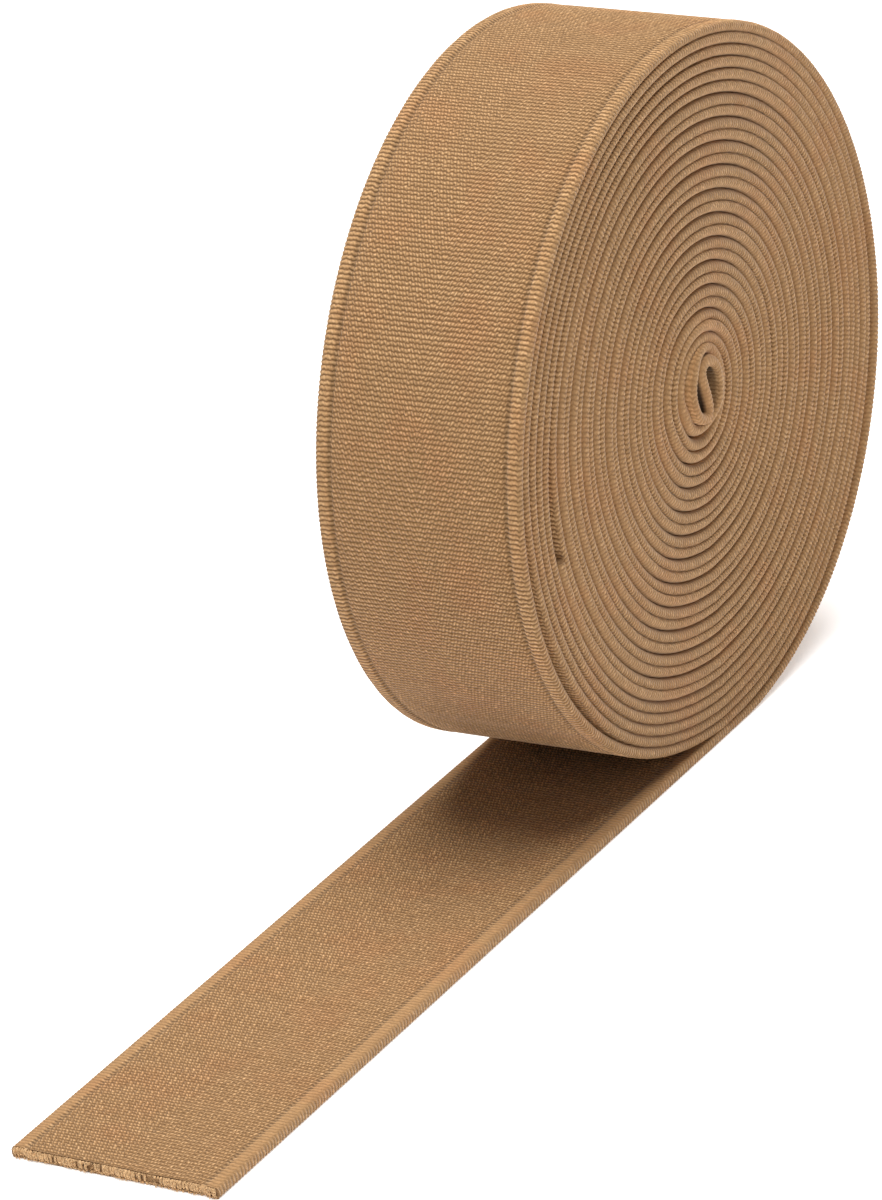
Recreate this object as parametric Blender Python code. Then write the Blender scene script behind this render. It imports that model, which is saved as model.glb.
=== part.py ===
"""A roll of woven elastic tape that stands on its rim, with its outer end laid out flat.

Frame: the roll's axis lies along Y, the loose end points to -X, and Z is up. The origin is on the
surface that the roll stands on, under the middle of the roll. Along the tape, from the inside out,
the turns run up the -X side, over the top and down the +X side. Turn angles are in degrees from the
roll's lowest point, in that direction.
"""

from math import cos, pi, radians, sin

import bpy

# The tape
TAPE_WIDTH = 0.038
TAPE_THICKNESS = 0.0019
FIT_GAP = 0.0003  # left between the two solids

# The outer turn, which is a little oval and grows by one tape a turn
AXIS_HEIGHT = 0.0632
MEAN_RADIUS = 0.0660
TURN_PITCH = 0.0019
OVAL_DEPTH = 0.0032  # how far the radius swings either way, twice a turn
OVAL_LEAN = 10.6  # the turn angle at which the oval is flattest
EGG_DEPTH = 0.0006  # the same, three times a turn
ANGLE_STEP = 2.5

# Where the outer turn parts from the wound roll and becomes the loose end
PARTING_ANGLE = 200.0
LOOSE_END_REACH = 0.179  # from the roll's middle to the cut
WEDGE_GAP = 0.0013  # the most that the loose end stands off the roll
WEDGE_ANGLE = 298.0
WEDGE_HALF_SPAN = 82.0

# The slack place under the outer turn, low on the loose end's side
SLACK_GAP = 0.0013
SLACK_ANGLE = 66.0
SLACK_HALF_SPAN = 40.0

# The eye: the tape's middle crosses it as a leaning bar, with an opening on each side
EYE_X = -0.0015
EYE_HEIGHT = 0.0652
BAR_LEAN = 14.0  # degrees off upright, with its top towards -X
OPENING_LENGTH = 0.0080
OPENING_DEPTH = 0.0030
OPENING_TAPER = 0.30  # how much fuller the round end is than the pointed end
OPENING_SHIFT = 0.0006  # how far each opening sits towards its own curl
OPENING_STEPS = 14

COLLECTION_NAME = "elastic_roll"
TAN = (0.451, 0.274, 0.142, 1.0)


def clear_scene():
    for old in list(bpy.data.objects):
        bpy.data.objects.remove(old, do_unlink=True)


def swell(angle, middle, half_span):
    """A smooth bump: 1 at its middle, 0 a half span away and beyond."""
    away = min(abs(angle - middle) / half_span, 1.0)
    return 0.5 * (1.0 + cos(pi * away))


def outer_radius(angle):
    """Radius of the outer face of the last turn."""
    growth = TURN_PITCH * (angle / 360.0 - 0.5)
    oval = OVAL_DEPTH * cos(radians(2.0 * (angle - OVAL_LEAN)))
    egg = EGG_DEPTH * cos(radians(3.0 * angle))
    return MEAN_RADIUS + growth - oval - egg


def rim_point(angle, radius, lowest=0.0):
    """A point round the roll, held above the flat that it rests on."""
    turn = radians(angle)
    return (-radius * sin(turn), max(AXIS_HEIGHT - radius * cos(turn), lowest))


def angles_between(start, end):
    steps = round(abs(end - start) / ANGLE_STEP)
    return [start + (end - start) * k / steps for k in range(steps + 1)]


def roll_outline():
    """The outer turn as far as the parting, a step down to the turn below it, and on round."""
    flat = TAPE_THICKNESS + FIT_GAP
    points = [rim_point(a, outer_radius(a), flat) for a in angles_between(0.0, PARTING_ANGLE)]
    for angle in angles_between(PARTING_ANGLE, 360.0)[:-1]:
        gap = FIT_GAP + WEDGE_GAP * swell(angle, WEDGE_ANGLE, WEDGE_HALF_SPAN)
        points.append(rim_point(angle, outer_radius(angle) - TAPE_THICKNESS - gap, flat))
    return points


def slack_outline():
    """The thin crescent between the outer turn and the one under it."""
    first = SLACK_ANGLE - SLACK_HALF_SPAN
    last = SLACK_ANGLE + SLACK_HALF_SPAN
    angles = angles_between(first, last)[1:-1]
    outside = [rim_point(a, outer_radius(a) - TAPE_THICKNESS) for a in angles]
    inside = []
    for angle in reversed(angles):
        depth = SLACK_GAP * swell(angle, SLACK_ANGLE, SLACK_HALF_SPAN)
        inside.append(rim_point(angle, outer_radius(angle) - TAPE_THICKNESS - depth))
    return outside + inside


def eye_opening(side):
    """One opening of the eye: straight along the bar, and round where the tape curls back."""
    lean = radians(BAR_LEAN)
    along = (-sin(lean), cos(lean))
    across = (cos(lean), sin(lean))
    points = []
    for k in range(OPENING_STEPS + 1):
        turn = pi * k / OPENING_STEPS
        fullness = 1.0 + OPENING_TAPER * cos(turn)
        up = 0.5 * OPENING_LENGTH * cos(turn) + OPENING_SHIFT
        out = 0.5 * TAPE_THICKNESS + OPENING_DEPTH * sin(turn) * fullness
        x = EYE_X + side * (up * along[0] + out * across[0])
        z = EYE_HEIGHT + side * (up * along[1] + out * across[1])
        points.append((x, z))
    return points


def loose_end_outline():
    """Out along the tape's outer face to the cut, and back along its inner face."""
    butt = PARTING_ANGLE + FIT_GAP / MEAN_RADIUS * 180.0 / pi
    angles = angles_between(butt, 360.0)
    outside = [rim_point(a, outer_radius(a)) for a in angles]
    inside = [rim_point(a, outer_radius(a) - TAPE_THICKNESS, TAPE_THICKNESS) for a in angles]
    cut = [(-LOOSE_END_REACH, 0.0), (-LOOSE_END_REACH, TAPE_THICKNESS)]
    return outside + cut + inside[::-1]


def elastic_material(name, roughness):
    material = bpy.data.materials.new(name)
    material.use_nodes = True
    shader = material.node_tree.nodes["Principled BSDF"]
    shader.inputs["Base Color"].default_value = TAN
    shader.inputs["Roughness"].default_value = roughness
    shader.inputs["Metallic"].default_value = 0.0
    return material


def add_profile(name, outlines, material, collection):
    """A solid of the tape's width whose side view is the first outline, less the others."""
    curve = bpy.data.curves.new(name, "CURVE")
    curve.dimensions = "2D"
    curve.fill_mode = "BOTH"
    curve.extrude = 0.5 * TAPE_WIDTH
    for outline in outlines:
        spline = curve.splines.new("POLY")
        spline.points.add(len(outline) - 1)
        for point, (x, z) in zip(spline.points, outline):
            point.co = (x, z, 0.0, 1.0)
        spline.use_cyclic_u = True
    profile = bpy.data.objects.new(name, curve)
    profile.rotation_euler = (radians(90.0), 0.0, 0.0)
    curve.materials.append(material)
    collection.objects.link(profile)
    return profile


def build():
    clear_scene()
    collection = bpy.data.collections.new(COLLECTION_NAME)
    bpy.context.scene.collection.children.link(collection)

    wound = [roll_outline(), slack_outline(), eye_opening(1.0), eye_opening(-1.0)]
    add_profile("roll", wound, elastic_material("wound_elastic", 0.85), collection)

    loose = [loose_end_outline()]
    add_profile("loose_end", loose, elastic_material("loose_elastic", 0.80), collection)


build()
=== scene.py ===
"""The looks of a roll of woven elastic: one long tape, wound from near its middle, with a loose end.

Metres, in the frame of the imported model: the roll's axis lies along Y, the loose end points to -X,
and Z is up. Turn angles are in degrees round the roll from its lowest point, up the -X side and over
the top. The last full turn runs from 0 to 360, and the turns under it have negative angles.
"""

import math
from math import cos, pi, radians, sin

import bpy
import numpy as np
from mathutils import Matrix, Vector


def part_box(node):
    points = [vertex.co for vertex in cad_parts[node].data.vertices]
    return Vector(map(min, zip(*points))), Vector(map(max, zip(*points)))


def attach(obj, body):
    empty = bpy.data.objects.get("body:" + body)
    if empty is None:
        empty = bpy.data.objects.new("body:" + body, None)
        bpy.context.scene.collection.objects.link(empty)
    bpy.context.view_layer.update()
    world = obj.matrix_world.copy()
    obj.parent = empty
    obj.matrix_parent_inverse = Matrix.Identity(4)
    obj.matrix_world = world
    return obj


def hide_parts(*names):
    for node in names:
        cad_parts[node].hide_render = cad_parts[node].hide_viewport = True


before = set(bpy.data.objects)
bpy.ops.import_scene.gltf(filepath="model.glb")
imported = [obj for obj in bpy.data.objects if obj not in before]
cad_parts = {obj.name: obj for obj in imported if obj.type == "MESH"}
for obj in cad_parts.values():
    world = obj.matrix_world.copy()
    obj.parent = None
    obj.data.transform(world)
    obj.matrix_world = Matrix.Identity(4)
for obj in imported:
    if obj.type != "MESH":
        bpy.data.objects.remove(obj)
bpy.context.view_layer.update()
LOOSE_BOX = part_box("loose_end")

# The tape
TAPE_WIDTH = LOOSE_BOX[1][1] - LOOSE_BOX[0][1]
HALF_WIDTH = 0.5 * TAPE_WIDTH
TAPE_THICKNESS = 0.0019
HALF_BODY = 0.00097  # from its middle to a face: woven tape swells a little past its thickness
CUT_X = LOOSE_BOX[0][0]
RIB = 0.00083  # from one cross rib to the next on the roll
LOOSE_RIB = 0.00089  # and on the loose end
RIB_EASE = 0.06  # the length over which one grows into the other
RINGS_PER_RIB = 4
EDGE_CREST = 0.00020  # the edge bulges nearer the ribbed face
EDGE_TURNS = (25.0, 50.0, 76.0)  # degrees round the edge from its crest
EDGE_RIBS = (0.00007, 0.00006, 0.00004)  # rib height: ribbed side, crest and plain side
WOUND_ROUNDS = (0.00075, 0.0011)  # how far the edge rounds over on the ribbed and the plain face
LOOSE_ROUNDS = (0.00055, 0.00055)
RIM_RIB_HEIGHT = 0.000045
LOOSE_RIB_HEIGHT = 0.00008
RIM_RELIEF = 1.0  # how deep the selvedge and its groove are
LOOSE_RELIEF = 0.4

# The outer turn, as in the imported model
AXIS_HEIGHT = 0.0632
MEAN_RADIUS = 0.0660
TURN_PITCH = 0.0019
OVAL_DEPTH = 0.0032
OVAL_LEAN = 10.6
EGG_DEPTH = 0.0006
RIM_STEPS = 720
FLAT_STEP = 0.001

# The slack places under the outer turn: (turn angle, half span, depth)
SLACK_PLACES = ((66.0, 40.0, 0.0013), (298.0, 82.0, 0.0015))

# The winding. The tape is folded near its middle, and both halves are wound together until the short
# half ends. Heights are counted in tapes, from the core's middle to a turn's outer face.
RINGS = (-0.0014, 0.0641)  # middle of the inner turns
CORE = (-0.0021, 0.0650)  # middle of the first turn of each half
CORE_REACH = (0.0060, 0.0145)  # the core's own shape fades out between these radii
CORE_TALL = 0.0006
CORE_TIGHT = 0.0007  # how much tighter the first turns are pulled
EYE_TAPES = 2.85  # height of the first turn
LONG_START = -16.0 * 360.0
SHORT_START = LONG_START + 180.0
LONE_TURNS = 4.0  # turns of the long half alone, under the outer one
SHORT_END = 81.0 - LONE_TURNS * 360.0
LOOSE_PITCH = 0.00204  # between the turns outside the short half's end
TOP_EASE = (185.0, 110.0, 0.00014)  # the same turns lie looser over the top
STEP_DOWN = 26.0  # degrees in which a turn settles past the short half's end
STEPS_DOWN = 6  # as many as there can be
EVEN_OUT = (60.0, 90.0)  # where, and in how many degrees, the turns inside make up for it
OVAL_GROWTH = 1.15  # how fast the turns grow oval outwards
PAIR_NIP = 0.00003  # like faces of the two halves lie closer
PAIR_EASE = 40.0  # degrees before the short half's end in which that ends

# The bar of tape across the eye, and the curls from its ends into the winding
BAR = (-0.0027, 0.0653)
BAR_LEAN = radians(19.0)
BAR_HALF = 0.0023
BAR_STEPS = 7
CURL_JOIN = 22.0  # degrees past each half's start at which its curl meets the winding
CURL_REACH = (0.0021, 0.0022)
CURL_STEPS = 23
ROUNDING_PASSES = 3

# How far the turns stand out of the near end face
CORE_PROUD = 0.0014
CORE_EDGE = (0.0056, 0.0020)  # distance from the core's middle where that falls away, and in how much
RING_PROUD = 0.00035
RING_EDGE = (0.0110, 0.0020)
SLIP = 0.00006  # how unevenly the turns are pushed along the axis
SLIP_WAVES = ((23.0, 0.4), (41.0, 2.1), (67.0, 4.0))
SLIP_END = 0.05  # the length of the outer turn in which all of it ends

# The cut: how far it slants and wavers from edge to edge, and how far back the tape follows it
CUT_SLANT = 0.00075
CUT_WAVES = ((0.00012, 1900.0, 1.0), (0.00010, 770.0, 0.0))
CUT_REACH = 0.012

# The weave, in millimetres round the surface from the crest of the nearer edge
BEAD = 0.61  # from one stitch to the next along a rib
EDGE_WAY = 0.5  # added to the millimetres in from the edge, on both faces
GROOVE_WAY = 3.25  # the groove between the selvedge and the body
GROOVE_FADE = (0.15, 0.65)
EDGE_FADE = (0.9, 1.3)  # the looped stitches of the edge end here
BODY_FADE = (3.2, 3.7)  # the body's ribs start here
PLAIN_FADE = (-1.1, -0.1)  # the plain face starts here
PLAIN_END = (2.5, 3.0)  # its smooth selvedge ends here

# The eye, by distance from the core's middle and by depth from the turns' near edges
EYE_SQUEEZE = 0.7  # the eye is taller than it is wide
EYE_INSIDE = (0.0036, 0.0050)
EYE_ROUND = (0.008, 0.011)
# Painted shade: the tape's colour darkens inside the eye between these depths
EYE_PAINTED_SHADE = (0.0001, 0.0011)  # it grows dark between these depths

# Yarn colours, from the shade between the stitches to their tops
SHADE = (0.180, 0.090, 0.032, 1.0)
YARN = (0.630, 0.364, 0.163, 1.0)
# A painted highlight for some stitch tops
GLINT = (0.92, 0.63, 0.35, 1.0)
WARMER = (1.02, 0.955, 0.93, 1.0)
CUT_SHADE = (0.10, 0.05, 0.02, 1.0)
CUT_TONE = (0.50, 0.29, 0.13, 1.0)
FLUFF_SHADE = (0.34, 0.195, 0.085, 1.0)
FLUFF_TONE = (0.78, 0.49, 0.24, 1.0)

# The studio
WHITE = (1.0, 1.0, 1.0, 1.0)
FLOOR_TONE = (0.92, 0.92, 0.92, 1.0)
FLOOR_GLOW = 0.4
FLOOR_SIZE = 6.0
SKY = 0.26
OVERHEAD = 4.0
OVERHEAD_FROM = (0.05, 0.04, 1.0)
OVERHEAD_SPREAD = radians(54.0)

# The camera: where it looks, from which way and how far, and its lean
LOOK_AT = Vector((-0.0633, 0.0, 0.0489))
AZIMUTH = radians(-60.2)
ELEVATION = radians(22.9)
LEAN = radians(-4.95)
DISTANCE = 1.133
LENS = 206.9
SENSOR = 36.0


def smooth(x):
    x = np.clip(x, 0.0, 1.0)
    return x * x * (3.0 - 2.0 * x)


def swell(angle, middle, half_span):
    away = np.minimum(np.abs(angle - middle) / half_span, 1.0)
    return 0.5 * (1.0 + np.cos(pi * away))


def paired_tapes(angle, start):
    """Height of a half's outer face while both halves are wound together."""
    return EYE_TAPES + 2.0 * (angle - start) / 360.0


def settled_turns(angle):
    """How many times the long half has stepped down past the short half's end."""
    steps = np.zeros_like(angle)
    for turn in range(STEPS_DOWN):
        steps += smooth((angle - SHORT_END - 360.0 * turn) / STEP_DOWN)
    return steps


def long_tapes(angle):
    """Height of the long half's outer face."""
    return paired_tapes(angle, LONG_START) - settled_turns(angle)


def rim_base(angle):
    """Base radius of the outer turn."""
    return MEAN_RADIUS + TURN_PITCH * (angle / 360.0 - 0.5)


def loose_pitch(around):
    at, span, more = TOP_EASE
    return LOOSE_PITCH + more * swell(around, at, span)


def second_base(around):
    """Base radius of the turn under the outer one."""
    slack = sum(depth * swell(around, at, span) for at, span, depth in SLACK_PLACES)
    closing = (LOOSE_PITCH - TURN_PITCH) * around / 360.0
    return rim_base(around) - LOOSE_PITCH + closing - slack


PAIRED_TAPES = float(paired_tapes(SHORT_END - 360.0, LONG_START))


def base_radius(tapes, angle):
    """Base radius, before the oval, of an outer face that many tapes out."""
    around = np.mod(angle, 360.0)
    rim_tapes = long_tapes(around)
    evened = smooth((around - EVEN_OUT[0]) / EVEN_OUT[1])
    even = paired_tapes(around, LONG_START) - LONE_TURNS - evened
    second = second_base(around)
    paired = second - loose_pitch(around) * (even - 1.0 - PAIRED_TAPES)
    pitch = (second - paired) / (rim_tapes - 1.0 - PAIRED_TAPES)
    inside = tapes * paired / PAIRED_TAPES
    return np.where(tapes <= PAIRED_TAPES, inside, paired + (tapes - PAIRED_TAPES) * pitch)


def round_the_roll(base, angle):
    """Points (x, z) of an outer face: ovals that grow rounder inwards, then tall round the core."""
    share = np.minimum(base / rim_base(0.0), 1.0)
    near_core = 1.0 - smooth((base - CORE_REACH[0]) / (CORE_REACH[1] - CORE_REACH[0]))
    lean = np.cos(np.radians(2.0 * (angle - OVAL_LEAN)))
    oval = (OVAL_DEPTH * share**OVAL_GROWTH - CORE_TALL * near_core) * lean
    egg = EGG_DEPTH * share**2 * np.cos(np.radians(3.0 * angle))
    radius = base - oval - egg - CORE_TIGHT * near_core
    middle_x = RINGS[0] * (1.0 - share) + (CORE[0] - RINGS[0]) * near_core
    middle_z = AXIS_HEIGHT + (RINGS[1] - AXIS_HEIGHT) * (1.0 - share)
    middle_z = middle_z + (CORE[1] - RINGS[1]) * near_core
    turn = np.radians(angle)
    return np.stack([middle_x - radius * np.sin(turn), middle_z - radius * np.cos(turn)], 1)


def sideways(points):
    """Unit normals of a run of points, to the outer side of the long half."""
    along = np.gradient(points, axis=0)
    along /= np.linalg.norm(along, axis=1)[:, None]
    return np.stack([-along[:, 1], along[:, 0]], 1)


def wound_run(start, end, tapes_of, nip):
    """Middle line of a wound stretch, from its outer face, inside out, in one-degree steps."""
    angles = np.linspace(start, end, int(abs(end - start)) + 1)
    paired = 1.0 - smooth((angles - SHORT_END + PAIR_EASE) / PAIR_EASE)
    face = round_the_roll(base_radius(tapes_of(angles), angles) + nip * paired, angles)
    return face - 0.5 * TAPE_THICKNESS * sideways(face)


def loose_run():
    """Middle line of the outer turn and the loose end, held above the flat that they lie on."""
    angles = np.linspace(0.0, 360.0, RIM_STEPS + 1)
    face = round_the_roll(rim_base(angles), angles)
    middle = face - 0.5 * TAPE_THICKNESS * sideways(face)
    falling = angles > 180.0
    middle[falling, 1] = np.maximum(middle[falling, 1], 0.5 * TAPE_THICKNESS)
    out = np.arange(middle[-1, 0] - FLAT_STEP, CUT_X, -FLAT_STEP)
    flat = np.stack([out, np.full_like(out, 0.5 * TAPE_THICKNESS)], 1)
    return np.concatenate([middle, flat, [[CUT_X, 0.5 * TAPE_THICKNESS]]])


def curl(wound, side):
    """From the eye's middle down half the bar, and round to meet the first wound turn."""
    bar = side * np.array([sin(BAR_LEAN), -cos(BAR_LEAN)])
    start = np.array(BAR) + BAR_HALF * bar
    towards = (wound[1] - wound[0]) / np.linalg.norm(wound[1] - wound[0])
    control = (start, start + CURL_REACH[0] * bar, wound[0] - CURL_REACH[1] * towards, wound[0])
    t = np.linspace(0.0, 1.0, CURL_STEPS + 1)[:-1, None]
    weights = ((1 - t) ** 3, 3 * t * (1 - t) ** 2, 3 * t * t * (1 - t), t**3)
    round_part = sum(w * c for w, c in zip(weights, control))
    along_bar = np.linspace(0.0, 1.0, BAR_STEPS + 1)[1:-1, None]
    return np.concatenate([np.array(BAR) + along_bar * BAR_HALF * bar, round_part])


def whole_tape():
    """The tape's middle line in rings, a quarter rib apart, with its normals and its lengths.

    Also where the outer turn and the loose end start, as numbers of rings.
    """
    short = wound_run(
        SHORT_START + CURL_JOIN, SHORT_END, lambda a: paired_tapes(a, SHORT_START), -PAIR_NIP
    )
    inner = wound_run(LONG_START + CURL_JOIN, 0.0, long_tapes, PAIR_NIP)
    short = np.concatenate([curl(short, -1.0), short])
    inner = np.concatenate([curl(inner, 1.0), inner[:-1]])
    line = np.concatenate([short[::-1], [BAR], inner, loose_run()])
    for _ in range(ROUNDING_PASSES):
        line[1:-1] = 0.25 * line[:-2] + 0.5 * line[1:-1] + 0.25 * line[2:]
    gone = np.concatenate([[0.0], np.cumsum(np.linalg.norm(np.diff(line, axis=0), axis=1))])
    outer_turn = len(short) + 1 + len(inner)
    rim_start = gone[outer_turn]
    lie_down = gone[outer_turn + RIM_STEPS]
    loose = smooth((gone - lie_down + RIB_EASE) / RIB_EASE)
    step = np.diff(gone) / (RIB + (LOOSE_RIB - RIB) * 0.5 * (loose[1:] + loose[:-1]))
    ribs = np.concatenate([[0.0], np.cumsum(step)])
    count = RINGS_PER_RIB * int(round(ribs[-1]))
    lengths = np.interp(np.linspace(0.0, ribs[-1], count + 1), ribs, gone)
    even = np.stack([np.interp(lengths, gone, line[:, k]) for k in (0, 1)], 1)
    starts = [
        RINGS_PER_RIB * int(round(np.searchsorted(lengths, at) / RINGS_PER_RIB))
        for at in (rim_start, lie_down)
    ]
    return even, sideways(even), lengths, starts


def push_along_axis(points, lengths, rim_start):
    """How far each place of the tape stands out towards -Y."""
    away = np.hypot(points[:, 0] - CORE[0], points[:, 1] - CORE[1])
    core = CORE_PROUD * (1.0 - smooth((away - CORE_EDGE[0]) / CORE_EDGE[1]))
    ring = RING_PROUD * (1.0 - smooth((away - RING_EDGE[0]) / RING_EDGE[1]))
    wander = sum(np.sin(lengths * rate + start) for rate, start in SLIP_WAVES)
    settled = 1.0 - smooth((lengths - lengths[rim_start]) / SLIP_END)
    return -(core + ring + SLIP * wander) * settled


# Sections across the tape: (place across, lift off the middle, how much the ribs show, millimetres
# round the surface from the crest of the nearer edge, which count down on the plain face)


def round_edge(side, rounds):
    """The edge from the ribbed face round to the plain one, which is rounder."""
    halves = []
    for reach, drop in zip((HALF_BODY - EDGE_CREST, -HALF_BODY - EDGE_CREST), rounds):
        ribs = EDGE_RIBS[0] if reach > 0 else EDGE_RIBS[2]
        gone = 0.0
        last = (0.0, EDGE_CREST)
        half = []
        for turn in EDGE_TURNS:
            inset = drop * (1.0 - cos(radians(turn)))
            lift = EDGE_CREST + reach * sin(radians(turn))
            gone += 1000.0 * math.hypot(inset - last[0], lift - last[1])
            last = (inset, lift)
            half.append((side * (HALF_WIDTH - inset), lift, ribs, math.copysign(gone, reach)))
        share = (1000.0 * last[0] + EDGE_WAY) / gone
        halves.append([(a, b, c, share * way) for a, b, c, way in half])
    crest = (side * HALF_WIDTH, EDGE_CREST, EDGE_RIBS[1], 0.0)
    return halves[0][::-1] + [crest] + halves[1]


# Across a face: (millimetres in from the edge, lift, share of the full rib height)
FACE_STEPS = (
    (1.2, 0.00003, 0.7),
    (1.7, 0.00006, 0.8),
    (2.2, 0.00001, 0.7),
    (2.4, -0.00016, 0.5),
    (2.75, -0.00036, 0.4),
    (3.1, -0.00018, 0.5),
    (3.45, -0.00002, 1.0),
    (6.0, 0.0, 1.0),
    (10.0, 0.0, 1.0),
    (14.5, 0.0, 1.0),
)
SELVEDGE_END = 3.2  # millimetres in from the edge, past the groove


def woven_face(face, rounds, rib_height, relief):
    """One face with its selvedges and grooves, from the near edge to the far one."""
    corner = round_edge(1.0, rounds)[0 if face > 0 else -1]
    middle = (0.0, face * HALF_BODY, rib_height, corner[3] + face * 1000.0 * corner[0])
    near = []
    far = []
    for inset, step_lift, share in FACE_STEPS:
        lift = face * (HALF_BODY + relief * step_lift)
        ribs = (relief if inset < SELVEDGE_END else 1.0) * share * rib_height
        across = HALF_WIDTH - 0.001 * inset
        round_way = corner[3] + face * 1000.0 * (corner[0] - across)
        near.append((-across, lift, ribs, round_way))
        far.append((across, lift, ribs, round_way))
    return near + [middle] + far[::-1]


def hidden_face(face):
    """One plain flat face, for where the next turn covers it."""
    corner = round_edge(1.0, WOUND_ROUNDS)[0 if face > 0 else -1]
    return [(0.0, face * HALF_BODY, 0.0, corner[3] + face * 1000.0 * corner[0])]


def section(rounds, ribbed_face, plain_face):
    """Once round the tape: near edge, ribbed face, far edge, plain face."""
    near = round_edge(-1.0, rounds)
    far = round_edge(1.0, rounds)
    return near[::-1] + ribbed_face + far + plain_face[::-1]


WOUND_SECTION = section(WOUND_ROUNDS, hidden_face(1.0), hidden_face(-1.0))
RIM_SECTION = section(
    WOUND_ROUNDS,
    woven_face(1.0, WOUND_ROUNDS, RIM_RIB_HEIGHT, RIM_RELIEF),
    hidden_face(-1.0),
)
LOOSE_SECTION = section(
    LOOSE_ROUNDS,
    woven_face(1.0, LOOSE_ROUNDS, LOOSE_RIB_HEIGHT, LOOSE_RELIEF),
    woven_face(-1.0, LOOSE_ROUNDS, LOOSE_RIB_HEIGHT, LOOSE_RELIEF),
)


def cut_slant(y, left):
    """How far the cut end and the last of the tape are pushed along by an uneven cut."""
    uneven = sum(height * np.sin(rate * y + start) for height, rate, start in CUT_WAVES)
    return (CUT_SLANT * y / HALF_WIDTH + uneven) * (1.0 - smooth(left / CUT_REACH))


def tape_points(tape, rings_at, outline, cut):
    """Points of a stretch, one row for each ring, with the cross ribs swelling its surface."""
    points, normals, lengths, push = (part[rings_at] for part in tape)
    across, lift, ribs = np.array(outline).T[:3]
    edge = np.stack(
        [np.roll(across, -1) - np.roll(across, 1), np.roll(lift, -1) - np.roll(lift, 1)], 1
    )
    outward = np.stack([-edge[:, 1], edge[:, 0]], 1)
    outward /= np.linalg.norm(outward, axis=1)[:, None]
    phase = np.cos(2.0 * pi * rings_at / RINGS_PER_RIB)
    uneven = 1.0 + 0.3 * np.sin(lengths * 911.0) * np.sin(lengths * 337.0 + 1.0)
    swing = (phase * uneven)[:, None] * ribs[None, :]
    y = across[None, :] + push[:, None] + swing * outward[None, :, 0]
    off = lift[None, :] + swing * outward[None, :, 1]
    along = cut_slant(y, (tape[2][-1] - lengths)[:, None]) if cut else 0.0
    x = points[:, 0:1] + normals[:, 0:1] * off + along
    z = points[:, 1:2] + normals[:, 1:2] * off
    return np.stack([x, y, z], 2)


def sweep_tape(name, tape, first, last, step, outline, materials):
    """A closed stretch of the tape, with a UV map of ribs along it and millimetres round it."""
    rings_at = np.arange(first, last + 1, step)
    points = tape_points(tape, rings_at, outline, last == len(tape[2]) - 1)
    rings, around = points.shape[:2]
    ring = np.arange(rings - 1)[:, None] * around
    here = ring + np.arange(around)
    beside = ring + np.roll(np.arange(around), -1)
    quads = np.stack([here, here + around, beside + around, beside], 2).reshape(-1, 4)
    faces = quads.tolist()
    faces.append(list(range(around)))
    faces.append([(rings - 1) * around + k for k in range(around)][::-1])
    mesh = bpy.data.meshes.new(name)
    mesh.from_pydata(points.reshape(-1, 3).tolist(), [], faces)

    full = (rings - 1, around)
    round_way = np.array(outline)[:, 3]
    near_way = np.broadcast_to(round_way, full)
    far_way = np.broadcast_to(np.roll(round_way, -1), full)
    start = np.broadcast_to((rings_at[:-1] / RINGS_PER_RIB)[:, None], full)
    end = np.broadcast_to((rings_at[1:] / RINGS_PER_RIB)[:, None], full)
    uv = np.stack([start, near_way, end, near_way, end, far_way, start, far_way], 2).reshape(-1)
    caps = np.tile(np.stack([np.zeros(around), round_way], 1).reshape(-1), 2)
    layer = mesh.uv_layers.new(name="tape")
    layer.data.foreach_set("uv", np.concatenate([uv, caps]).astype(np.float32))

    for material in materials:
        mesh.materials.append(material)
    mesh.polygons.foreach_set("use_smooth", [True] * len(quads) + [False, False])
    mesh.polygons.foreach_set("material_index", [0] * len(quads) + [1, 1])
    return add_piece(name, mesh)


def add_piece(name, mesh):
    piece = bpy.data.objects.new(name, mesh)
    bpy.context.scene.collection.objects.link(piece)
    return piece


def feed(tree, socket, value):
    """Sets a socket to a number or a colour, or links it to another node."""
    if isinstance(value, (int, float, tuple)):
        socket.default_value = value
    else:
        tree.links.new(value, socket)


def math_node(tree, operation, *values):
    node = tree.nodes.new("ShaderNodeMath")
    node.operation = operation
    for socket, value in zip(node.inputs, values):
        feed(tree, socket, value)
    return node.outputs[0]


def times(tree, first, second):
    return math_node(tree, "MULTIPLY", first, second)


def plus(tree, first, second):
    return math_node(tree, "ADD", first, second)


def minus(tree, first, second):
    return math_node(tree, "SUBTRACT", first, second)


def times_plus(tree, first, second, third):
    return math_node(tree, "MULTIPLY_ADD", first, second, third)


def hump(tree, turns):
    """1 at whole numbers of turns, and 0 half way between them."""
    return times_plus(tree, math_node(tree, "COSINE", times(tree, turns, 2.0 * pi)), 0.5, 0.5)


def change_where(tree, value, mask, change):
    """The value as it is where the mask is 0, and changed by that share of it where it is 1."""
    return times(tree, value, times_plus(tree, mask, change, 1.0))


def colour_mix(tree, share, first, second, blend="MIX"):
    node = tree.nodes.new("ShaderNodeMix")
    node.data_type = "RGBA"
    node.blend_type = blend
    feed(tree, node.inputs[0], share)
    feed(tree, node.inputs[6], first)
    feed(tree, node.inputs[7], second)
    return node.outputs[2]


def noise(tree, vector, scale, detail=2.0):
    node = tree.nodes.new("ShaderNodeTexNoise")
    node.inputs["Scale"].default_value = scale
    node.inputs["Detail"].default_value = detail
    tree.links.new(vector, node.inputs["Vector"])
    return node.outputs[0]


def spread(tree, value, low, high, to_low=0.0, to_high=1.0):
    """A soft step from one number to another while the value goes from low to high."""
    node = tree.nodes.new("ShaderNodeMapRange")
    node.interpolation_type = "SMOOTHSTEP"
    numbers = {"From Min": low, "From Max": high, "To Min": to_low, "To Max": to_high}
    for name, number in numbers.items():
        node.inputs[name].default_value = number
    tree.links.new(value, node.inputs[0])
    return node.outputs[0]


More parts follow.
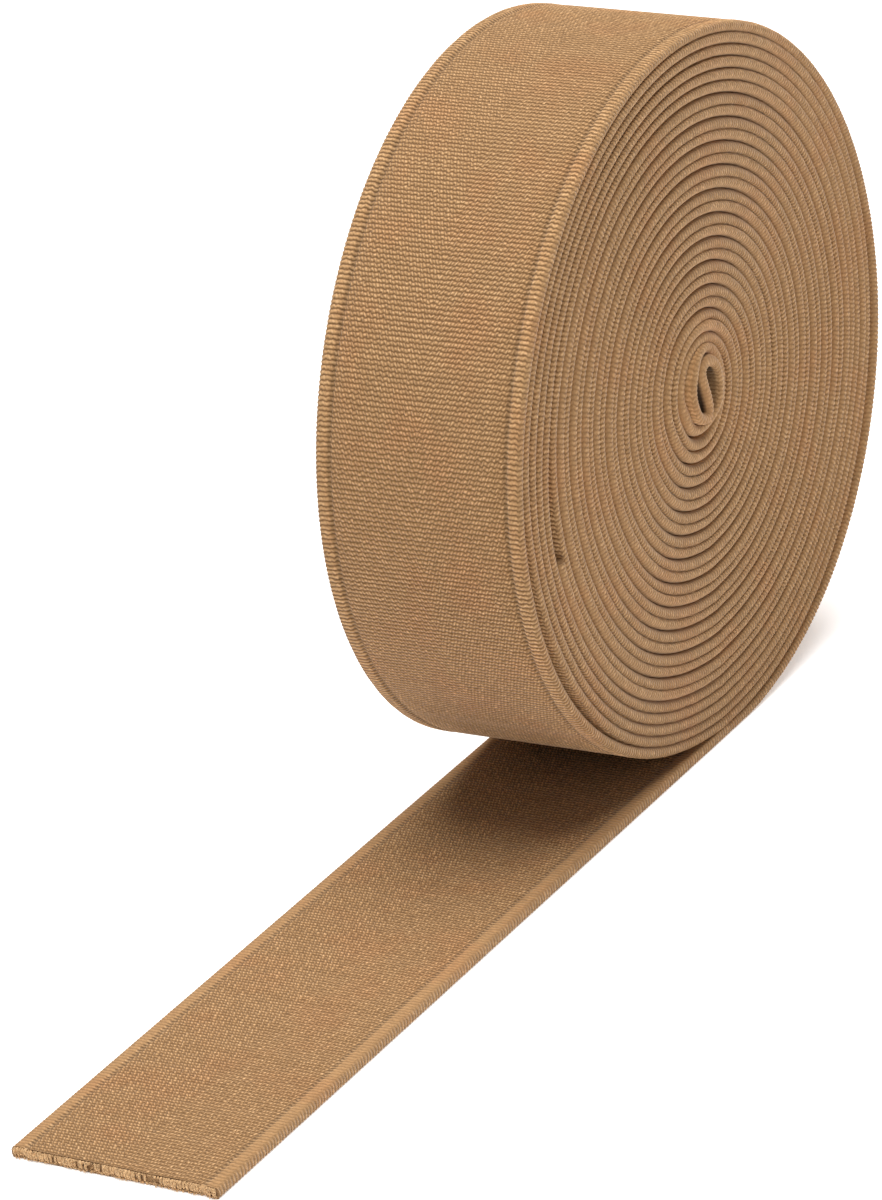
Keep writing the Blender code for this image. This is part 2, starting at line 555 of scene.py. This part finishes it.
def fade_out(tree, value, limits):
    """1 below the limits and 0 above them."""
    return spread(tree, value, *limits, 1.0, 0.0)


def joined(tree, *parts):
    node = tree.nodes.new("ShaderNodeCombineXYZ")
    for socket, part in zip(node.inputs, parts):
        feed(tree, socket, part)
    return node.outputs[0]


def split(tree, vector):
    node = tree.nodes.new("ShaderNodeSeparateXYZ")
    tree.links.new(vector, node.inputs[0])
    return node.outputs


def grey(tree, value):
    node = tree.nodes.new("ShaderNodeCombineColor")
    for slot in range(3):
        tree.links.new(value, node.inputs[slot])
    return node.outputs[0]


def new_finish(name):
    """A new material, with its node tree and its shader."""
    material = bpy.data.materials.new(name)
    material.use_nodes = True
    return material, material.node_tree, material.node_tree.nodes["Principled BSDF"]


def object_place(tree):
    return tree.nodes.new("ShaderNodeTexCoord").outputs["Object"]


def add_bump(tree, shader, height, strength, distance):
    bump = tree.nodes.new("ShaderNodeBump")
    bump.inputs["Strength"].default_value = strength
    bump.inputs["Distance"].default_value = distance
    tree.links.new(height, bump.inputs["Height"])
    tree.links.new(bump.outputs[0], shader.inputs["Normal"])


def eye_masks(tree, where):
    """Two masks: of painted shade on the tape down inside the eye, and of the turns round the eye."""
    place = split(tree, where)
    x = minus(tree, place[0], CORE[0])
    z = times(tree, minus(tree, place[2], CORE[1]), EYE_SQUEEZE)
    away = math_node(tree, "SQRT", plus(tree, times(tree, x, x), times(tree, z, z)))
    off_middle = math_node(tree, "ABSOLUTE", plus(tree, place[1], CORE_PROUD))
    depth = minus(tree, HALF_WIDTH, off_middle)
    deep = times(tree, fade_out(tree, away, EYE_INSIDE), spread(tree, depth, *EYE_PAINTED_SHADE))
    return deep, fade_out(tree, away, EYE_ROUND)


def cross_ribs(tree, along, way, on_edge, on_body):
    """The number of the rib, and how far off its middle, for ribs that wander and lean."""
    inward = math_node(tree, "ABSOLUTE", way)
    wander = noise(tree, joined(tree, times(tree, along, 0.4), way, 0.0), 1.5)
    wander = times(tree, minus(tree, wander, 0.5), 0.85)
    slant = times(tree, times(tree, inward, on_edge), 0.22)
    wave = math_node(tree, "SINE", times_plus(tree, wander, 6.0, times(tree, way, pi / BEAD)))
    wander = times_plus(tree, wave, times(tree, on_body, 0.10), wander)
    rib_at = plus(tree, plus(tree, along, wander), slant)
    row = math_node(tree, "ROUND", rib_at)
    return row, minus(tree, rib_at, row)


def stitches(tree, way, row, off_row):
    """The number of the stitch, and its height, set like bricks and slanted like twisted yarn."""
    place = times_plus(tree, way, 1.0 / BEAD, times(tree, row, 0.5))
    place = times_plus(tree, off_row, 0.8, place)
    jog = noise(tree, joined(tree, row, way, 3.0), 2.3, 1.0)
    place = times_plus(tree, jog, 0.7, place)
    stitch = math_node(tree, "ROUND", place)
    return stitch, hump(tree, minus(tree, place, stitch))


def elastic_material(name):
    """Cross ribs of slanted stitches, plain wraps on the selvedges, and looped stitches on the edges."""
    material, tree, shader = new_finish(name)
    uv = tree.nodes.new("ShaderNodeUVMap")
    uv.uv_map = "tape"
    along, way = split(tree, uv.outputs[0])[:2]
    inward = math_node(tree, "ABSOLUTE", way)
    where = object_place(tree)

    # Where round the tape: its edge, its body, the groove between, and the plain face's selvedge
    eye_painted_shade, round_eye = eye_masks(tree, where)
    on_edge = fade_out(tree, inward, EDGE_FADE)
    on_body = spread(tree, inward, *BODY_FADE)
    off_groove = math_node(tree, "ABSOLUTE", minus(tree, inward, GROOVE_WAY))
    groove_painted_shade = fade_out(tree, off_groove, GROOVE_FADE)
    plain_side = times(tree, fade_out(tree, way, PLAIN_FADE), fade_out(tree, inward, PLAIN_END))

    # Height of the weave: ribs, cut into stitches, smoother on the selvedge, the edge and the eye
    row, off_row = cross_ribs(tree, along, way, on_edge, on_body)
    ridge = math_node(tree, "POWER", hump(tree, off_row), 0.6)
    stitch, bead = stitches(tree, way, row, off_row)
    body_depth = spread(tree, way, -3.0, 0.0, 0.60, 0.40)
    bead_depth = times_plus(tree, on_body, body_depth, times_plus(tree, on_edge, 0.12, 0.2))
    bead = minus(tree, 1.0, times(tree, bead_depth, minus(tree, 1.0, bead)))
    weave = times(tree, ridge, bead)
    plain_share = times_plus(tree, plain_side, -0.65, 1.0)
    weave = times_plus(tree, weave, plain_share, times(tree, plain_side, 0.25))
    calm = math_node(tree, "MAXIMUM", times(tree, on_edge, 0.32), times(tree, round_eye, 0.6))
    weave = times_plus(tree, weave, minus(tree, 1.0, calm), times(tree, calm, 0.70))

    # Each stitch's own luck, the fluff of the yarn, and wide cloudy patches
    luck = tree.nodes.new("ShaderNodeTexWhiteNoise")
    luck.noise_dimensions = "2D"
    tree.links.new(joined(tree, row, stitch, 0.0), luck.inputs["Vector"])
    chance = luck.outputs["Value"]
    fuzz = noise(tree, where, 2400.0, 3.0)
    cloud = noise(tree, where, 95.0, 4.0)

    # Colour
    tone = colour_mix(tree, weave, SHADE, YARN)
    # Painted highlight: some stitch tops, picked by their luck, are lightened towards GLINT
    painted_glint = times(tree, spread(tree, chance, 0.45, 1.0), spread(tree, weave, 0.5, 1.0))
    tone = colour_mix(tree, times(tree, painted_glint, 0.26), tone, GLINT)
    tone = colour_mix(tree, spread(tree, cloud, 0.45, 0.70), tone, WARMER, "MULTIPLY")
    # Random tone of each stitch and of the fluff, then darker on the edge, with painted shade in the
    # groove and inside the eye
    variation_and_shade = times_plus(tree, chance, 0.14, 0.80)
    variation_and_shade = times_plus(tree, fuzz, 0.30, variation_and_shade)
    variation_and_shade = change_where(tree, variation_and_shade, on_edge, -0.17)
    # Painted shade in the groove between the selvedge and the body
    variation_and_shade = change_where(tree, variation_and_shade, groove_painted_shade, -0.32)
    # Painted shade: the tape down inside the eye is darkened with depth
    variation_and_shade = change_where(tree, variation_and_shade, eye_painted_shade, -0.88)
    tone = colour_mix(tree, 1.0, tone, grey(tree, variation_and_shade), "MULTIPLY")
    tree.links.new(tone, shader.inputs["Base Color"])
    shader.inputs["Roughness"].default_value = 0.88
    shader.inputs["Sheen Weight"].default_value = 0.16
    shader.inputs["Sheen Roughness"].default_value = 0.5
    shader.inputs["Specular IOR Level"].default_value = 0.2

    height = times_plus(tree, fuzz, 0.30, weave)
    height = times_plus(tree, chance, 0.20, height)
    add_bump(tree, shader, height, 0.85, 0.00022)
    return material


def cut_material(name):
    """The shaded inside of the tape, where it is cut."""
    material, tree, shader = new_finish(name)
    specks = noise(tree, object_place(tree), 2600.0)
    tree.links.new(colour_mix(tree, specks, CUT_SHADE, CUT_TONE), shader.inputs["Base Color"])
    shader.inputs["Roughness"].default_value = 0.95
    return material


def yarn_material(name):
    """Fluffy cut yarn."""
    material, tree, shader = new_finish(name)
    where = object_place(tree)
    fluff = spread(tree, noise(tree, where, 3200.0, 3.0), 0.3, 0.7)
    tree.links.new(colour_mix(tree, fluff, FLUFF_SHADE, FLUFF_TONE), shader.inputs["Base Color"])
    shader.inputs["Roughness"].default_value = 0.9
    shader.inputs["Sheen Weight"].default_value = 0.12
    add_bump(tree, shader, noise(tree, where, 5200.0, 2.0), 0.6, 0.0001)
    return material


def floor_material(name):
    material, _, shader = new_finish(name)
    shader.inputs["Base Color"].default_value = FLOOR_TONE
    shader.inputs["Emission Color"].default_value = WHITE
    shader.inputs["Emission Strength"].default_value = FLOOR_GLOW
    shader.inputs["Roughness"].default_value = 0.9
    return material


def add_floor():
    bpy.ops.object.select_all(action="DESELECT")
    bpy.ops.mesh.primitive_plane_add(size=FLOOR_SIZE, location=(0.0, 0.0, 0.0))
    floor = bpy.context.object
    floor.name = "floor"
    floor.data.materials.append(floor_material("pale_floor"))


def add_lights():
    world = bpy.data.worlds.new("studio")
    world.use_nodes = True
    background = world.node_tree.nodes["Background"]
    background.inputs[0].default_value = WHITE
    background.inputs[1].default_value = SKY
    bpy.context.scene.world = world
    sun = bpy.data.lights.new("overhead", "SUN")
    sun.energy = OVERHEAD
    sun.angle = OVERHEAD_SPREAD
    lamp = bpy.data.objects.new("overhead", sun)
    lamp.rotation_euler = Vector(OVERHEAD_FROM).to_track_quat("Z", "Y").to_euler()
    bpy.context.scene.collection.objects.link(lamp)


def add_camera():
    back = Vector((sin(AZIMUTH) * cos(ELEVATION), -cos(AZIMUTH) * cos(ELEVATION), sin(ELEVATION)))
    level = Vector((cos(AZIMUTH), sin(AZIMUTH), 0.0))
    right = level * cos(LEAN) + back.cross(level) * sin(LEAN)
    up = back.cross(right)
    data = bpy.data.cameras.new("camera")
    data.sensor_width = SENSOR
    data.lens = LENS
    data.clip_start = 0.01
    data.clip_end = 20.0
    camera = bpy.data.objects.new("camera", data)
    turn = Matrix((right, up, back)).transposed().to_4x4()
    camera.matrix_world = Matrix.Translation(LOOK_AT + back * DISTANCE) @ turn
    bpy.context.scene.collection.objects.link(camera)
    bpy.context.scene.camera = camera


def tube(vertices, faces, path, radius, sides=6):
    """Adds a closed tube with narrowed ends along a short path."""
    first = len(vertices)
    path = [Vector(p) for p in path]
    for k, place in enumerate(path):
        ahead = (path[min(k + 1, len(path) - 1)] - path[max(k - 1, 0)]).normalized()
        side = ahead.orthogonal().normalized()
        other = ahead.cross(side)
        wide = radius * (0.55 if k in (0, len(path) - 1) else 1.0)
        for n in range(sides):
            turn = 2.0 * pi * n / sides
            vertices.append(place + wide * (cos(turn) * side + sin(turn) * other))
    for k in range(len(path) - 1):
        for n in range(sides):
            here = first + k * sides + n
            beside = first + k * sides + (n + 1) % sides
            faces.append((here, beside, beside + sides, here + sides))
    faces.append(tuple(first + n for n in range(sides))[::-1])
    faces.append(tuple(first + (len(path) - 1) * sides + n for n in range(sides)))


# The frayed end: two rows of yarn, the threads that tie them, and a few loose hairs
YARNS_IN_ROW = 76
YARN_RADIUS = 0.00024
TIES = 84
TIE_GAPS = ((-6.5, 3.5), (4.5, 3.0))  # where ties are missing: millimetres across, and half span
HAIRS = 34
CORNER_HAIRS = 12
HAIR_RADIUS = 0.00006
FRAY_HALF = HALF_WIDTH - 0.0005
TOP_ROW = 0.5 * TAPE_THICKNESS + 0.00068
BOTTOM_ROW = 0.5 * TAPE_THICKNESS - 0.00062


def cut_at(y):
    """Where along X the cut is, that far across the tape."""
    return CUT_X + float(cut_slant(np.array(y), 0.0))


def across_fray(k, count):
    """The place across the tape of one of that many yarns, evenly spaced."""
    return -FRAY_HALF + 2.0 * FRAY_HALF * (k + 0.5) / count


def add_row_yarns(rng, vertices, faces):
    """Ends of the yarns that run along the tape, over and under its middle."""
    for k in range(YARNS_IN_ROW):
        y = across_fray(k, YARNS_IN_ROW)
        cut = cut_at(y)
        for height in (TOP_ROW, BOTTOM_ROW):
            out = cut - 0.00012 - 0.00040 * rng.random() ** 1.5
            at = y + 0.00010 * rng.normal()
            droop = 0.00012 * rng.normal()
            path = (
                (cut + 0.0006, at, height),
                (cut, at, height),
                (out, at + droop, height + 0.6 * droop),
            )
            tube(vertices, faces, path, YARN_RADIUS + 0.00004 * rng.random())


def add_ties(rng, vertices, faces):
    """Threads that go down over the cut from the upper face to the lower one."""
    for k in range(TIES):
        y = across_fray(k, TIES) + 0.00006 * rng.normal()
        gap = sum(float(swell(1000.0 * y, at, span)) for at, span in TIE_GAPS)
        if rng.random() < 0.05 + 0.5 * gap:
            continue
        cut = cut_at(y) - 0.00012 + 0.00010 * rng.random()
        low = BOTTOM_ROW - 0.00030 * rng.random()
        path = (
            (cut + 0.0002, y, max(low, 0.00012)),
            (cut - 0.00012, y + 0.00005 * rng.normal(), 0.00095),
            (cut - 0.00006, y, TOP_ROW),
            (cut + 0.0003, y, TOP_ROW + 0.00012),
        )
        tube(vertices, faces, path, YARN_RADIUS + 0.00005 * rng.random())


def add_hairs(rng, vertices, faces):
    """Loose fibres, most of all at the corners."""
    for k in range(HAIRS):
        y = FRAY_HALF * (2.0 * rng.random() - 1.0)
        if k < CORNER_HAIRS:
            y = math.copysign(FRAY_HALF, k % 2 - 0.5) * (1.0 - 0.05 * rng.random())
        cut = cut_at(y)
        height = BOTTOM_ROW + (TOP_ROW - BOTTOM_ROW) * rng.random()
        reach = 0.0006 + 0.0009 * rng.random()
        sway = 0.0005 * rng.normal()
        rise = 0.0004 * rng.normal()
        path = [
            (cut + 0.0003 - t * reach, y + sway * t * t, max(height + rise * t * t, 0.0001))
            for t in (0.0, 0.35, 0.7, 1.0)
        ]
        tube(vertices, faces, path, HAIR_RADIUS, 5)


def add_cut_yarns(material):
    """The frayed end, as one piece that goes with the loose end."""
    rng = np.random.default_rng(7)
    vertices = []
    faces = []
    add_row_yarns(rng, vertices, faces)
    add_ties(rng, vertices, faces)
    add_hairs(rng, vertices, faces)
    mesh = bpy.data.meshes.new("cut_yarns")
    mesh.from_pydata([tuple(v) for v in vertices], [], faces)
    mesh.polygons.foreach_set("use_smooth", [True] * len(faces))
    mesh.materials.append(material)
    piece = add_piece("cut_yarns", mesh)
    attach(piece, "root")
    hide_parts("loose_end")
    return piece


def add_tape():
    """The tape in five stretches, which meet end to end."""
    points, normals, lengths, (rim, lie_down) = whole_tape()
    tape = (points, normals, lengths, push_along_axis(points, lengths, rim))
    woven = elastic_material("woven_elastic")
    materials = (woven, cut_material("cut_inside"))
    yarns = add_cut_yarns(yarn_material("cut_yarn"))
    last = len(lengths) - 1
    third = RINGS_PER_RIB * (rim // (3 * RINGS_PER_RIB))
    # Where only the edges show, every second ring is enough
    stretches = (
        ("short_half", 0, third, 2, WOUND_SECTION, "roll", "folded"),
        ("paired_turns", third, 2 * third, 2, WOUND_SECTION, "roll", "folded"),
        ("outer_turns", 2 * third, rim, 2, WOUND_SECTION, "roll", "folded"),
        ("rim_turn", rim, lie_down, 1, RIM_SECTION, "loose_end", "folded"),
        ("loose_end", lie_down, last, 1, LOOSE_SECTION, "loose_end", "laid"),
    )
    for name, first, end, step, outline, node, held in stretches:
        piece = sweep_tape("tape_" + name, tape, first, end, step, outline, materials)
        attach(piece, "root")
        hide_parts(node)


bpy.context.scene.view_settings.view_transform = "Standard"
add_camera()
add_lights()
add_floor()
add_tape()
